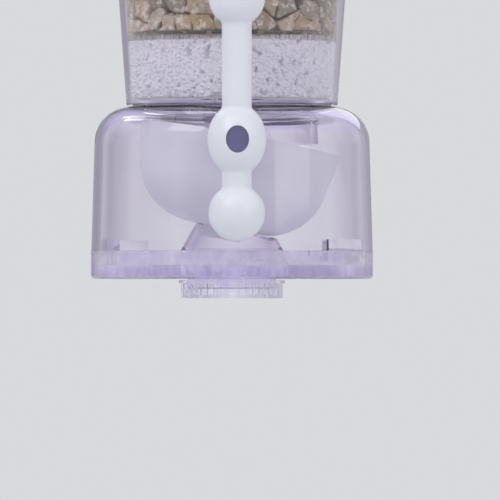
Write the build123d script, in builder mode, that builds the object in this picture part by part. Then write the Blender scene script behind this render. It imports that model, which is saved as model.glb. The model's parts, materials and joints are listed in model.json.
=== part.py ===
from build123d import *
import os
import random
from math import cos, floor, pi, radians, sin, sqrt, tan

# Water filter that hangs from a faucet spout. +Z is up and +X is to the right of someone who
# faces the lever, which is at -Y. The origin is the centre of the nut's mouth, where the
# spout screws in, so the whole filter lies below it. Millimetres and degrees.

os.makedirs("parts", exist_ok=True)

# Clearances
push_gap = 0.10         # round a piece that is pushed or screwed home
running_gap = 0.06      # round a shaft that turns
ring_gap = 0.02         # between a seal ring and the walls of its groove
free_gap = 0.30         # between pieces that pass each other
media_gap = 0.15        # between the jar's wall and what fills it

# Inlet: swivel nut, washer, screen and neck
thread_radius = 11.0
thread_length = 6.5
thread_relief = 0.5
thread_runout = 0.3
nut_wall = 3.8
nut_lip_height = 2.5
nut_lip_gap = 0.4
nut_flute_count = 20
nut_flute_radius = 1.0
nut_chamfer = 0.8
washer_height = 2.0
washer_play = 0.2
screen_thickness = 0.4
screen_rim = 1.2
screen_pitch = 1.7
screen_hole = 1.1
neck_bore_radius = 6.0
neck_wall = 2.0
neck_length = 7.0
neck_flange_height = 2.0
neck_flange_play = 0.4
neck_shoulder_height = 1.6
neck_shoulder_step = 2.6
neck_stub_step = 0.9
neck_seal_height = 0.6

# Top cap
cap_boss_height = 5.0
cap_boss_wall = 4.0
cap_boss_edge_radius = 0.8
cap_boss_root_radius = 1.5
cap_plate = 2.75
cap_wall = 2.15
cap_edge_radius = 3.5
cap_flute_count = 28
cap_flute_radius = 1.3
cap_flute_depth = 0.5
cap_seal_height = 1.0

# Filter jar
jar_height = 46.85
jar_bottom_radius = 26.4
jar_taper = 4.15
jar_wall = 1.3
jar_floor = 1.0
jar_neck_height = 8.0
jar_neck_step = 0.3
jar_headspace = 3.3
jar_seal_height = 0.4
jar_seal_setback = 1.5
jar_ledge = 4.9
skirt_wall = 1.5
skirt_depth = 9.8
nipple_radius = 5.3
nipple_wall = 1.7
nipple_length = 2.95
lug_height = 1.0
lug_reach = 0.8
lug_arc = 20.0
lug_count = 3
lug_turn = 40.0
lug_entry_play = 4.0

# What the jar holds, from its floor up; the carbon takes what height is left
pad_height = 0.4
bead_height = 14.45
bead_pit = 1.5
bead_pit_pitch = 3.6
grate_height = 2.0
grate_web = 0.8
grate_rim = 1.4
grate_notch_count = 60
grate_notch = 1.1
grate_slot_count = 24
grate_slot = 1.2
grate_hub_radius = 5.0
stone_height = 8.1
stone_size = 5.6
stone_fill = 0.99
sediment_height = 6.0
carbon_pit = 2.0
carbon_pit_pitch = 4.2
pit_depth_share = 0.6

# Clear housing
housing_height = 36.0
housing_overhang = 8.8
housing_draft = 1.71
housing_wall = 2.1
shoulder_radius = 9.0
lock_height = 2.75
lock_arc = 24.0
lock_angles = (-35.0, 145.0)
lock_tooth_height = 1.3
lock_tooth_reach = 0.8

# Base cap
base_height = 7.0
base_floor = 3.5
base_overhang = 0.05
base_edge_radius = 0.8
lock_space = 2.4
lock_ring_wall = 2.0
lock_entry_turn = 32.0
lock_play = 1.0
lock_floor_gap = 0.9
base_seal_width = 1.0
base_seal_height = 0.6
foot_ring_height = 1.7
foot_ring_wall = 1.2

# Outlet
spigot_bore_radius = 9.4
spigot_wall = 1.6
spigot_bead = 0.35
collar_wall = 1.75
collar_height = 4.5
collar_flange_step = 0.55
collar_flange_height = 0.75
collar_rib_count = 44
collar_rib_depth = 0.4
collar_rib_width = 0.8
collar_lip_height = 0.8
collar_lip_width = 1.2
collar_drop = 0.25
collar_turning_gap = 0.15
straightener_height = 1.5
straightener_pitch = 2.1
straightener_hole = 1.6
outlet_washer_height = 0.4

# Catch bowl and the cone that it stands on
bowl_margin = 4.0
bowl_draft = 10.5
bowl_wall = 0.95
bowl_corner_radius = 15.0
bowl_tilt = 11.6
spout_radius = 5.0
spout_length = 3.0
cone_step = 1.75
cone_wall = 1.2
cone_slope = 29.5
cone_rise = 5.5
cone_foot_height = 3.4
cone_seal_height = 0.4

# Valve, spindle and lever
valve_drop = 9.0
barrel_wall = 2.15
barrel_length = 16.0
barrel_end = 1.5
riser_wall = 1.6
nozzle_wall = 1.8
nozzle_length = 10.0
port_radius = 2.8
plug_radius = 3.8
plug_end_play = 0.1
retainer_length = 1.5
valve_seal_section = 0.4
boss_wall = 2.15
boss_front = 0.8
boss_length = 5.7
spindle_radius = 2.5
spindle_flange_step = 1.25
spindle_flange_length = 1.0
spindle_key_width = 5.6
spindle_key_height = 6.6
spindle_recess = 0.9
spindle_seal_section = 0.45
tongue_thickness = 1.6
tongue_length = 2.1
tongue_height = 4.4
lever_clearance = 0.55
lever_stem_radius = 3.65
lever_hub_radius = 7.2
lever_hub_half_height = 8.8
lever_ball_radius = 6.9
lever_up = 34.5
lever_down = 17.9
lever_blend_radius = 1.2

# Radii, worked out from the thread, the neck, the jar and the spigot
nut_radius = thread_radius + nut_wall
washer_radius = thread_radius - washer_play
neck_flange_radius = thread_radius - neck_flange_play
neck_radius = neck_bore_radius + neck_wall
nut_lip_radius = neck_radius + nut_lip_gap
neck_stub_radius = neck_radius + neck_stub_step
neck_shoulder_radius = neck_stub_radius + neck_shoulder_step
cap_boss_bore = neck_stub_radius + push_gap
cap_boss_radius = cap_boss_bore + cap_boss_wall
skirt_radius = jar_bottom_radius - jar_ledge
housing_radius = jar_bottom_radius + housing_overhang
base_radius = housing_radius + base_overhang
base_inner = housing_radius - housing_wall
lock_ring_radius = base_inner - lock_space
bowl_radius = skirt_radius + bowl_margin
spigot_radius = spigot_bore_radius + spigot_wall
collar_radius = spigot_radius + collar_wall
collar_flange_radius = collar_radius + collar_flange_step
outlet_radius = spigot_bore_radius - collar_lip_width
cone_radius = spigot_radius + cone_step
nipple_bore_radius = nipple_radius - nipple_wall
socket_radius = nipple_radius + push_gap
riser_radius = socket_radius + riser_wall
nozzle_radius = port_radius + nozzle_wall
barrel_bore = plug_radius + running_gap
barrel_radius = barrel_bore + barrel_wall
journal_radius = spindle_key_height / 2 + running_gap
spindle_flange_radius = journal_radius + spindle_flange_step
boss_bore = journal_radius + running_gap
boss_radius = boss_bore + boss_wall
lever_reach = base_radius + lever_clearance + max(lever_hub_radius, lever_ball_radius)

# Heights, worked out from the nut's mouth down
washer_top = -thread_length - thread_runout
neck_top = washer_top - washer_height
neck_flange_under = neck_top - neck_flange_height
nut_lip_top = neck_flange_under - free_gap
nut_bottom = nut_lip_top - nut_lip_height
neck_shoulder_top = neck_flange_under - neck_length
neck_shoulder_under = neck_shoulder_top - neck_shoulder_height
cap_boss_top = neck_shoulder_under - neck_seal_height
cap_top = cap_boss_top - cap_boss_height
cap_under = cap_top - cap_plate
jar_rim = cap_under - cap_seal_height
jar_neck_base = jar_rim - jar_neck_height
jar_under = jar_rim - jar_height
jar_floor_top = jar_under + jar_floor
housing_top = jar_under - jar_seal_height
housing_ceiling = housing_top - housing_wall
seam = housing_top - housing_height
base_bottom = seam - base_height
base_floor_top = base_bottom + base_floor
skirt_bottom = jar_under - skirt_depth
valve_height = housing_top - valve_drop
cone_foot = base_floor_top + cone_seal_height
cone_foot_top = cone_foot + cone_foot_height
lock_depth = base_height - base_floor - lock_floor_gap
bead_base = jar_floor_top + pad_height
middle_grate_base = bead_base + bead_height
stone_base = middle_grate_base + grate_height
upper_grate_base = stone_base + stone_height
carbon_base = upper_grate_base + grate_height
sediment_top = cap_under - jar_headspace
sediment_base = sediment_top - sediment_height
collar_top = base_bottom - collar_drop
collar_bottom = collar_top - collar_height
collar_lip_top = collar_bottom + collar_lip_height
straightener_top = collar_lip_top + straightener_height
outlet_washer_top = straightener_top + outlet_washer_height
spigot_bottom = outlet_washer_top + collar_turning_gap
bead_middle = (base_bottom + spigot_bottom) / 2

# The bowl hangs close under the ceiling on its high side and passes the jar's skirt there
tilt = radians(bowl_tilt)
bowl_height = housing_ceiling - free_gap - bowl_radius * sin(tilt)
bowl_depth = (bowl_height - cone_foot_top - cone_rise) / cos(tilt)
bowl_shift = bowl_radius * cos(tilt) - skirt_radius - bowl_wall - free_gap


def jar_outside(height):
    """Radius of the jar's tapered outer wall at a height."""
    return jar_bottom_radius + (height - jar_under) * tan(radians(jar_taper))


def jar_inside(height):
    """Radius of the jar's inner wall, which stops widening at the neck."""
    return jar_outside(min(height, jar_neck_base)) - jar_wall


def housing_outside(height):
    """Radius of the housing's drafted outer wall below its shoulder."""
    return housing_radius - (height - seam) * tan(radians(housing_draft))


def meridian(angle):
    """Upright plane through the axis: x points outward at the angle and y points up."""
    across = radians(angle)
    return Plane((0, 0, 0), x_dir=(cos(across), sin(across), 0), z_dir=(sin(across), -cos(across), 0))


def ring(inner, outer, bottom, top):
    """Flat ring round the Z axis."""
    with BuildPart() as piece:
        with BuildSketch(Plane.XY.offset(bottom)):
            Circle(outer)
            Circle(inner, mode=Mode.SUBTRACT)
        extrude(amount=top - bottom)
    return piece


def jar_filling(bottom, top):
    """Solid that fills the tapered jar from one height to another."""
    with BuildPart() as piece:
        with BuildSketch(Plane.XZ):
            with BuildLine():
                Polyline(
                    (0, bottom),
                    (jar_inside(bottom) - media_gap, bottom),
                    (jar_inside(top) - media_gap, top),
                    (0, top),
                    close=True,
                )
            make_face()
        revolve(axis=Axis.Z)
    return piece


def granular_bed(bottom, top, pitch, pit):
    """Bed of granules as one solid, with uneven facetted pits between those at the jar's wall."""
    dice = random.Random(3)
    pits = []
    row_count = floor((top - bottom) / pitch)
    row_height = (top - bottom) / row_count
    for row in range(row_count):
        height = bottom + (row + 0.5) * row_height
        radius = jar_inside(height) - media_gap
        count = floor(2 * pi * radius / pitch)
        for index in range(count):
            turn = (index + 0.5 * (row % 2) + dice.uniform(-0.2, 0.2)) * 360 / count
            rise = height + dice.uniform(-0.15, 0.15) * row_height
            place = Location((0, 0, rise), (0, 0, turn)) * Location((radius, 0, 0))
            depth = pit * pit_depth_share * dice.uniform(0.7, 1.2)
            corners = [(depth, 0, 0), (-depth, 0, 0)]
            for step in range(4):
                angle = pi / 2 * (step + dice.uniform(-0.3, 0.3))
                reach = pit / 2 * dice.uniform(0.7, 1.3)
                corners.append((0, reach * cos(angle), reach * sin(angle)))
            with BuildPart() as hollow:
                ConvexPolyhedron(corners)
            pits.append(place * hollow.part)
    with BuildPart() as piece:
        add(jar_filling(bottom, top).part)
        add(pits, mode=Mode.SUBTRACT)
    return piece


def grate(bottom):
    """Slotted divider with a notched rim that wedges in the jar's taper."""
    outer = jar_inside(bottom) - media_gap
    web_bottom = bottom + grate_height - grate_web
    slot_outer = outer - 2 * grate_rim
    slot_middle = (slot_outer + grate_hub_radius) / 2
    with BuildPart() as piece:
        with BuildSketch(Plane.XY.offset(bottom)):
            Circle(outer)
            Circle(outer - grate_rim, mode=Mode.SUBTRACT)
        extrude(amount=grate_height)
        with BuildSketch(Plane.XY.offset(web_bottom)):
            Circle(outer - grate_rim)
            with PolarLocations(slot_middle, grate_slot_count):
                Rectangle(slot_outer - grate_hub_radius, grate_slot, mode=Mode.SUBTRACT)
        extrude(amount=grate_web)
        with BuildSketch(Plane.XY.offset(bottom)):
            with PolarLocations(outer, grate_notch_count):
                Rectangle(grate_rim, grate_notch)
        extrude(amount=grate_height - grate_web, mode=Mode.SUBTRACT)
    return piece


# Swivel nut, with a plain bore at the thread's size and a lip that hangs on the neck's flange
with BuildPart() as swivel_nut:
    with BuildSketch(Plane.XZ):
        with BuildLine():
            Polyline(
                (nut_lip_radius, nut_bottom),
                (nut_radius, nut_bottom),
                (nut_radius, 0),
                (thread_radius, 0),
                (thread_radius, -thread_length),
                (thread_radius + thread_relief, -thread_length),
                (thread_radius + thread_relief, nut_lip_top),
                (nut_lip_radius, nut_lip_top),
                close=True,
            )
        make_face()
    revolve(axis=Axis.Z)
    chamfer(swivel_nut.edges().filter_by(GeomType.CIRCLE).group_by(SortBy.RADIUS)[-1], nut_chamfer)
    with BuildSketch(Plane.XY.offset(nut_bottom + 2 * nut_chamfer)):
        with PolarLocations(nut_radius + nut_flute_radius / 2, nut_flute_count):
            Circle(nut_flute_radius)
    extrude(amount=-nut_bottom - 4 * nut_chamfer, mode=Mode.SUBTRACT)
swivel_nut.part.label = "swivel_nut"
export_step(swivel_nut.part, "parts/swivel_nut.step")

# Washer that the spout presses on, with a step that holds the screen
with BuildPart() as inlet_washer:
    with BuildSketch(Plane.XZ):
        screen_radius = neck_bore_radius + screen_rim
        with BuildLine():
            Polyline(
                (neck_bore_radius, neck_top),
                (washer_radius, neck_top),
                (washer_radius, washer_top),
                (screen_radius + push_gap, washer_top),
                (screen_radius + push_gap, washer_top - screen_thickness),
                (neck_bore_radius, washer_top - screen_thickness),
                close=True,
            )
        make_face()
    revolve(axis=Axis.Z)
inlet_washer.part.label = "inlet_washer"
export_step(inlet_washer.part, "parts/inlet_washer.step")

# Debris screen, a thin disc of square holes
with BuildPart() as inlet_screen:
    with BuildSketch(Plane.XY.offset(washer_top - screen_thickness)):
        Circle(screen_radius)
        screen_row = floor((neck_bore_radius - screen_hole) / screen_pitch)
        half_diagonal = screen_hole / sqrt(2)
        for column in range(-screen_row, screen_row + 1):
            for row in range(-screen_row, screen_row + 1):
                if sqrt(column**2 + row**2) * screen_pitch + half_diagonal < neck_bore_radius:
                    with Locations((column * screen_pitch, row * screen_pitch)):
                        Rectangle(screen_hole, screen_hole, mode=Mode.SUBTRACT)
    extrude(amount=screen_thickness)
inlet_screen.part.label = "inlet_screen"
export_step(inlet_screen.part, "parts/inlet_screen.step")

# Neck that screws into the cap, with wrench flats on its shoulder
with BuildPart() as inlet_neck:
    with BuildSketch(Plane.XZ):
        with BuildLine():
            Polyline(
                (neck_bore_radius, cap_under),
                (neck_stub_radius, cap_under),
                (neck_stub_radius, neck_shoulder_under),
                (neck_shoulder_radius, neck_shoulder_under),
                (neck_shoulder_radius, neck_shoulder_top),
                (neck_radius, neck_shoulder_top),
                (neck_radius, neck_flange_under),
                (neck_flange_radius, neck_flange_under),
                (neck_flange_radius, neck_top),
                (neck_bore_radius, neck_top),
                close=True,
            )
        make_face()
    revolve(axis=Axis.Z)
    flat_distance = (neck_radius + neck_shoulder_radius) / 2
    with BuildSketch(Plane.XY.offset(neck_shoulder_under)):
        with Locations((0, flat_distance + neck_radius / 2), (0, -flat_distance - neck_radius / 2)):
            Rectangle(2 * neck_shoulder_radius, neck_radius)
    extrude(amount=neck_shoulder_height, mode=Mode.SUBTRACT)
inlet_neck.part.label = "inlet_neck"
export_step(inlet_neck.part, "parts/inlet_neck.step")

neck_seal = ring(cap_boss_bore, flat_distance, cap_boss_top, neck_shoulder_under)
neck_seal.part.label = "neck_seal"
export_step(neck_seal.part, "parts/neck_seal.step")

# Top cap, a fluted screw cap with a boss for the neck
cap_inner_radius = jar_outside(jar_neck_base) - jar_neck_step + push_gap
cap_radius = cap_inner_radius + cap_wall
with BuildPart() as top_cap:
    with BuildSketch(Plane.XZ) as cap_section:
        with BuildLine():
            Polyline(
                (cap_boss_bore, cap_under),
                (cap_inner_radius, cap_under),
                (cap_inner_radius, jar_neck_base + push_gap),
                (cap_radius, jar_neck_base + push_gap),
                (cap_radius, cap_top),
                (cap_boss_radius, cap_top),
                (cap_boss_radius, cap_boss_top),
                (cap_boss_bore, cap_boss_top),
                close=True,
            )
        make_face()
        fillet(cap_section.vertices().sort_by_distance((cap_radius, cap_top))[0], cap_edge_radius)
        boss_root = cap_section.vertices().sort_by_distance((cap_boss_radius, cap_top))[0]
        fillet(boss_root, cap_boss_root_radius)
        boss_edge = cap_section.vertices().sort_by_distance((cap_boss_radius, cap_boss_top))[0]
        fillet(boss_edge, cap_boss_edge_radius)
    revolve(axis=Axis.Z)
    with BuildSketch(Plane.XY.offset(jar_neck_base)):
        with PolarLocations(cap_radius + cap_flute_radius - cap_flute_depth, cap_flute_count):
            Circle(cap_flute_radius)
    extrude(amount=cap_top - jar_neck_base, mode=Mode.SUBTRACT)
top_cap.part.label = "top_cap"
export_step(top_cap.part, "parts/top_cap.step")

cap_seal = ring(jar_inside(jar_rim), cap_inner_radius - push_gap, jar_rim, cap_under)
cap_seal.part.label = "cap_seal"
export_step(cap_seal.part, "parts/cap_seal.step")

# Filter jar: tapered clear cup, with a skirt that locks in the housing and a nipple for the valve
seal_floor_radius = nipple_radius - 2 * valve_seal_section - ring_gap
seal_height = jar_under - nipple_length / 2
with BuildPart() as filter_jar:
    with BuildSketch(Plane.XZ):
        with BuildLine():
            Polyline(
                (skirt_radius - skirt_wall, skirt_bottom),
                (skirt_radius, skirt_bottom),
                (skirt_radius, jar_under),
                (jar_bottom_radius, jar_under),
                (jar_outside(jar_neck_base), jar_neck_base),
                (jar_outside(jar_neck_base) - jar_neck_step, jar_neck_base),
                (jar_outside(jar_neck_base) - jar_neck_step, jar_rim),
                (jar_inside(jar_rim), jar_rim),
                (jar_inside(jar_rim), jar_neck_base),
                (jar_inside(jar_floor_top), jar_floor_top),
                (nipple_bore_radius, jar_floor_top),
                (nipple_bore_radius, jar_under - nipple_length),
                (nipple_radius, jar_under - nipple_length),
                (nipple_radius, jar_under),
                (skirt_radius - skirt_wall, jar_under),
                close=True,
            )
        make_face()
    revolve(axis=Axis.Z)
    with BuildSketch(Plane.XZ):
        with Locations((nipple_radius, seal_height)):
            groove_width = 2 * (nipple_radius - seal_floor_radius)
            Rectangle(groove_width, 2 * (valve_seal_section + ring_gap))
    revolve(axis=Axis.Z, mode=Mode.SUBTRACT)
    for index in range(lug_count):
        with BuildSketch(meridian(index * 360 / lug_count - lug_arc / 2)):
            with Locations((skirt_radius, housing_ceiling - push_gap)):
                Rectangle(2 * lug_reach, lug_height, align=(Align.CENTER, Align.MAX))
        revolve(axis=Axis.Z, revolution_arc=lug_arc)
    with BuildSketch(Plane.XZ):
        with Locations((0, valve_height)):
            Circle(journal_radius + free_gap)
            notch_width = 2 * (journal_radius + free_gap)
            Rectangle(notch_width, skirt_depth, align=(Align.CENTER, Align.MAX))
    extrude(amount=skirt_radius + lug_reach, mode=Mode.SUBTRACT)
filter_jar.part.label = "filter_jar"
export_step(filter_jar.part, "parts/filter_jar.step")

jar_seal = ring(skirt_radius + push_gap, jar_bottom_radius - jar_seal_setback, housing_top, jar_under)
jar_seal.part.label = "jar_seal"
export_step(jar_seal.part, "parts/jar_seal.step")

# Filter layers
lower_pad = jar_filling(jar_floor_top, bead_base)
lower_pad.part.label = "lower_pad"
export_step(lower_pad.part, "parts/lower_pad.step")

bead_bed = granular_bed(bead_base, middle_grate_base, bead_pit_pitch, bead_pit)
bead_bed.part.label = "bead_bed"
export_step(bead_bed.part, "parts/bead_bed.step")

middle_grate = grate(middle_grate_base)
middle_grate.part.label = "middle_grate"
export_step(middle_grate.part, "parts/middle_grate.step")

upper_grate = grate(upper_grate_base)
upper_grate.part.label = "upper_grate"
export_step(upper_grate.part, "parts/upper_grate.step")

carbon_bed = granular_bed(carbon_base, sediment_base, carbon_pit_pitch, carbon_pit)
carbon_bed.part.label = "carbon_bed"
export_step(carbon_bed.part, "parts/carbon_bed.step")

sediment_pad = jar_filling(sediment_base, sediment_top)
sediment_pad.part.label = "sediment_pad"
export_step(sediment_pad.part, "parts/sediment_pad.step")


def stone_points(dice, radial, across, upright):
    """Corners of one angular pebble whose hull keeps inside the given half sizes."""
    corners = []
    rings = ((-0.86, 4), (-0.3, 6), (0.35, 6), (0.88, 4))
    for height, count in rings:
        level = height + dice.uniform(-0.1, 0.1)
        turn = dice.uniform(0, 2 * pi)
        for step in range(count):
            angle = turn + (step + dice.uniform(-0.3, 0.3)) * 2 * pi / count
            reach = sqrt(1 - level**2) * dice.uniform(0.92, 1.0)
            corners.append((radial * reach * cos(angle), across * reach * sin(angle), upright * level))
    return corners


# Stones: two layers of angular pebbles in rings, each in a space of its own
dice = random.Random(7)
stones = []
layer_height = stone_height / 2
for layer in range(2):
    layer_base = stone_base + layer * layer_height
    bed_radius = jar_inside(layer_base) - media_gap
    ring_count = floor(bed_radius / stone_size)
    ring_pitch = bed_radius / ring_count
    for ring_index in range(ring_count):
        middle = bed_radius - (ring_index + 0.5) * ring_pitch
        count = max(3, floor(2 * pi * middle / stone_size))
        radial = stone_fill * ring_pitch / 2
        across = stone_fill * tan(pi / count) * sqrt(middle**2 - radial**2)
        for index in range(count):
            angle = 360 * (index + 0.5 * layer + 0.3 * ring_index) / count
            place = Location((0, 0, layer_base + layer_height / 2), (0, 0, angle))
            with BuildPart() as stone:
                ConvexPolyhedron(stone_points(dice, radial, across, layer_height / 2))
            stones.append(place * Location((middle, 0, 0)) * stone.part)
with BuildPart() as stone_bed:
    add(stones)
stone_bed.part.label = "stone_bed"
export_step(stone_bed.part, "parts/stone_bed.step")

# Clear housing: drafted cup, open below, with a round shoulder, a spindle boss and lock lugs
opening_radius = skirt_radius + push_gap
shoulder_corner = housing_outside(housing_top)
with BuildPart() as clear_housing:
    with BuildSketch(Plane.XZ) as housing_section:
        with BuildLine():
            Polyline(
                (base_inner, seam),
                (housing_radius, seam),
                (shoulder_corner, housing_top),
                (opening_radius, housing_top),
                (opening_radius, housing_ceiling),
                (housing_outside(housing_ceiling) - housing_wall, housing_ceiling),
                close=True,
            )
        make_face()
        outer_corner = (shoulder_corner, housing_top)
        fillet(housing_section.vertices().sort_by_distance(outer_corner)[0], shoulder_radius)
        inner_corner = (housing_outside(housing_ceiling) - housing_wall, housing_ceiling)
        inner_radius = shoulder_radius - housing_wall
        fillet(housing_section.vertices().sort_by_distance(inner_corner)[0], inner_radius)
    revolve(axis=Axis.Z)
    for index in range(lug_count):
        entry_arc = lug_arc + lug_entry_play
        with BuildSketch(meridian(index * 360 / lug_count + lug_turn - entry_arc / 2)):
            with Locations((opening_radius, housing_top)):
                reach = 2 * (lug_reach + push_gap)
                Rectangle(reach, 2 * housing_wall + free_gap)
        revolve(axis=Axis.Z, revolution_arc=entry_arc, mode=Mode.SUBTRACT)
    boss_face = housing_outside(valve_height) + boss_front
    with BuildSketch(Plane.XZ.offset(boss_face)):
        with Locations((0, valve_height)):
            Circle(boss_radius)
    extrude(amount=-boss_length)
    with BuildSketch(Plane.XZ.offset(boss_face)):
        with Locations((0, valve_height)):
            Circle(boss_bore)
    extrude(amount=-boss_length, mode=Mode.SUBTRACT)
    lock_inner = lock_ring_radius + free_gap
    for angle in lock_angles:
        with BuildSketch(meridian(angle - lock_arc / 2)):
            with BuildLine():
                Polyline(
                    (lock_inner, seam + lock_height),
                    (base_inner, seam + lock_height),
                    (base_inner + housing_wall / 2, seam),
                    (base_inner - free_gap, seam),
                    (base_inner - free_gap, seam - lock_depth),
                    (lock_inner - lock_tooth_reach, seam - lock_depth),
                    (lock_inner - lock_tooth_reach, seam - lock_depth + lock_tooth_height),
                    (lock_inner, seam - lock_depth + lock_tooth_height),
                    close=True,
                )
            make_face()
        revolve(axis=Axis.Z, revolution_arc=lock_arc)
clear_housing.part.label = "clear_housing"
export_step(clear_housing.part, "parts/clear_housing.step")

# Base cap: shallow dish with a foot ring for the cone, a lock ring for the lugs and the spigot
seal_inner = base_inner + (base_radius - base_inner - base_seal_width) / 2
foot_ring_inner = cone_radius + push_gap
groove_inner = lock_ring_radius + free_gap - lock_tooth_reach - push_gap
groove_low = seam - lock_depth - push_gap
groove_height = lock_tooth_height + 2 * push_gap
groove_depth = lock_ring_radius - groove_inner + push_gap
with BuildPart() as base_cap:
    with BuildSketch(Plane.XZ) as base_section:
        with BuildLine():
            Polyline(
                (spigot_bore_radius, spigot_bottom),
                (spigot_radius, spigot_bottom),
                (spigot_radius, base_bottom),
                (base_radius, base_bottom),
                (base_radius, seam),
                (seal_inner + base_seal_width, seam),
                (seal_inner + base_seal_width, seam - base_seal_height),
                (seal_inner, seam - base_seal_height),
                (seal_inner, seam),
                (base_inner, seam),
                (base_inner, base_floor_top),
                (lock_ring_radius, base_floor_top),
                (lock_ring_radius, seam),
                (lock_ring_radius - lock_ring_wall, seam),
                (lock_ring_radius - lock_ring_wall, base_floor_top),
                (foot_ring_inner + foot_ring_wall, base_floor_top),
                (foot_ring_inner + foot_ring_wall, base_floor_top + foot_ring_height),
                (foot_ring_inner, base_floor_top + foot_ring_height),
                (foot_ring_inner, base_floor_top),
                (spigot_bore_radius, base_floor_top),
                close=True,
            )
        make_face()
        outer_edge = base_section.vertices().sort_by_distance((base_radius, base_bottom))[0]
        fillet(outer_edge, base_edge_radius)
    revolve(axis=Axis.Z)
    with BuildSketch(Plane.XZ):
        with Locations((spigot_radius, bead_middle)):
            Rectangle(2 * spigot_bead, 2 * spigot_bead)
    revolve(axis=Axis.Z)
    for angle in lock_angles:
        groove_start = meridian(angle - lock_arc / 2 - lock_play - lock_entry_turn)
        entry_arc = lock_arc + 2 * lock_play
        with BuildSketch(groove_start):
            with Locations((groove_inner, groove_low)):
                Rectangle(groove_depth, groove_height, align=Align.MIN)
        revolve(axis=Axis.Z, revolution_arc=entry_arc + lock_entry_turn, mode=Mode.SUBTRACT)
        with BuildSketch(groove_start):
            with Locations((groove_inner, groove_low)):
                Rectangle(groove_depth, seam - groove_low + push_gap, align=Align.MIN)
        revolve(axis=Axis.Z, revolution_arc=entry_arc, mode=Mode.SUBTRACT)
base_cap.part.label = "base_cap"
export_step(base_cap.part, "parts/base_cap.step")

base_seal = ring(
    seal_inner + ring_gap, seal_inner + base_seal_width - ring_gap, seam - base_seal_height, seam
)
base_seal.part.label = "base_seal"
export_step(base_seal.part, "parts/base_seal.step")

# Catch bowl, tilted so that it drains to one side, with a notch for the spindle
bowl_up = (sin(tilt), 0, cos(tilt))
bowl_centre = (bowl_shift, 0, bowl_height)
bowl_plane = Plane(bowl_centre, x_dir=(cos(tilt), 0, -sin(tilt)), z_dir=(0, -1, 0))
bowl_bottom_radius = bowl_radius - bowl_depth * tan(radians(bowl_draft))
bowl_axis = Axis(bowl_centre, bowl_up)
notch_radius = journal_radius + free_gap
with BuildPart() as inner_bowl:
    with BuildSketch(bowl_plane) as bowl_section:
        with BuildLine():
            Polyline(
                (bowl_radius - bowl_wall, 0),
                (bowl_radius, 0),
                (bowl_bottom_radius, -bowl_depth),
                (spout_radius, -bowl_depth),
                (spout_radius, -bowl_depth - spout_length),
                (spout_radius - bowl_wall, -bowl_depth - spout_length),
                (spout_radius - bowl_wall, -bowl_depth + bowl_wall),
                (bowl_bottom_radius - bowl_wall, -bowl_depth + bowl_wall),
                close=True,
            )
        make_face()
        outer_corner = (bowl_bottom_radius, -bowl_depth)
        fillet(bowl_section.vertices().sort_by_distance(outer_corner)[0], bowl_corner_radius)
        inner_corner = (bowl_bottom_radius - bowl_wall, -bowl_depth + bowl_wall)
        inner_radius = bowl_corner_radius - bowl_wall
        fillet(bowl_section.vertices().sort_by_distance(inner_corner)[0], inner_radius)
    revolve(axis=bowl_axis)
    with BuildSketch(Plane.XZ):
        with Locations((0, valve_height)):
            Circle(notch_radius)
            notch_height = housing_ceiling - valve_height
            Rectangle(2 * notch_radius, notch_height, align=(Align.CENTER, Align.MIN))
    extrude(amount=bowl_radius + bowl_wall, mode=Mode.SUBTRACT)
inner_bowl.part.label = "inner_bowl"
export_step(inner_bowl.part, "parts/inner_bowl.step")

# Drain cone that carries the bowl on a slanted rim and leads the water to the spigot
cone_skin = cone_wall / cos(radians(cone_slope))
cone_narrowing = tan(radians(cone_slope))
cone_height = (cone_radius - spout_radius) / cone_narrowing
bowl_seat = Plane(
    (bowl_shift - bowl_depth * sin(tilt), 0, bowl_height - bowl_depth * cos(tilt)),
    x_dir=(cos(tilt), 0, -sin(tilt)),
    z_dir=bowl_up,
)
with BuildPart() as drain_cone:
    with BuildSketch(Plane.XZ):
        with BuildLine():
            Polyline(
                (cone_radius - cone_skin, cone_foot),
                (cone_radius, cone_foot),
                (cone_radius, cone_foot_top),
                (cone_radius - cone_height * cone_narrowing, cone_foot_top + cone_height),
                (cone_radius - cone_skin - cone_height * cone_narrowing, cone_foot_top + cone_height),
                (cone_radius - cone_skin, cone_foot_top),
                close=True,
            )
        make_face()
    revolve(axis=Axis.Z)
    split(bisect_by=bowl_seat, keep=Keep.BOTTOM)
drain_cone.part.label = "drain_cone"
export_step(drain_cone.part, "parts/drain_cone.step")

cone_seal = ring(cone_radius - cone_skin, cone_radius, base_floor_top, cone_foot)
cone_seal.part.label = "cone_seal"
export_step(cone_seal.part, "parts/cone_seal.step")

# Valve body: barrel across the jar's outlet, with a riser above and a nozzle below
barrel_front = -barrel_length / 2
riser_top = jar_under - free_gap
valve_axis = Axis((0, 0, valve_height), (0, 1, 0))
with BuildPart() as valve_body:
    with BuildSketch(Plane.XZ.offset(-barrel_front)):
        with Locations((0, valve_height)):
            Circle(barrel_radius)
    extrude(amount=-barrel_length)
    with BuildSketch(Plane.XY.offset(valve_height)):
        Circle(riser_radius)
    extrude(amount=riser_top - valve_height)
    with BuildSketch(Plane.XY.offset(valve_height - nozzle_length)):
        Circle(nozzle_radius)
    extrude(amount=nozzle_length)
    with BuildSketch(Plane.XZ.offset(-barrel_front)):
        with Locations((0, valve_height)):
            Circle(barrel_bore)
    extrude(amount=-(barrel_length - barrel_end), mode=Mode.SUBTRACT)
    with BuildSketch(Plane.XY.offset(valve_height - nozzle_length)):
        Circle(port_radius)
    extrude(amount=nozzle_length + riser_top - valve_height, mode=Mode.SUBTRACT)
    with BuildSketch(Plane.XY.offset(jar_under - nipple_length - free_gap)):
        Circle(socket_radius)
    extrude(amount=nipple_length + free_gap, mode=Mode.SUBTRACT)
valve_body.part.label = "valve_body"
export_step(valve_body.part, "parts/valve_body.step")

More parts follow.
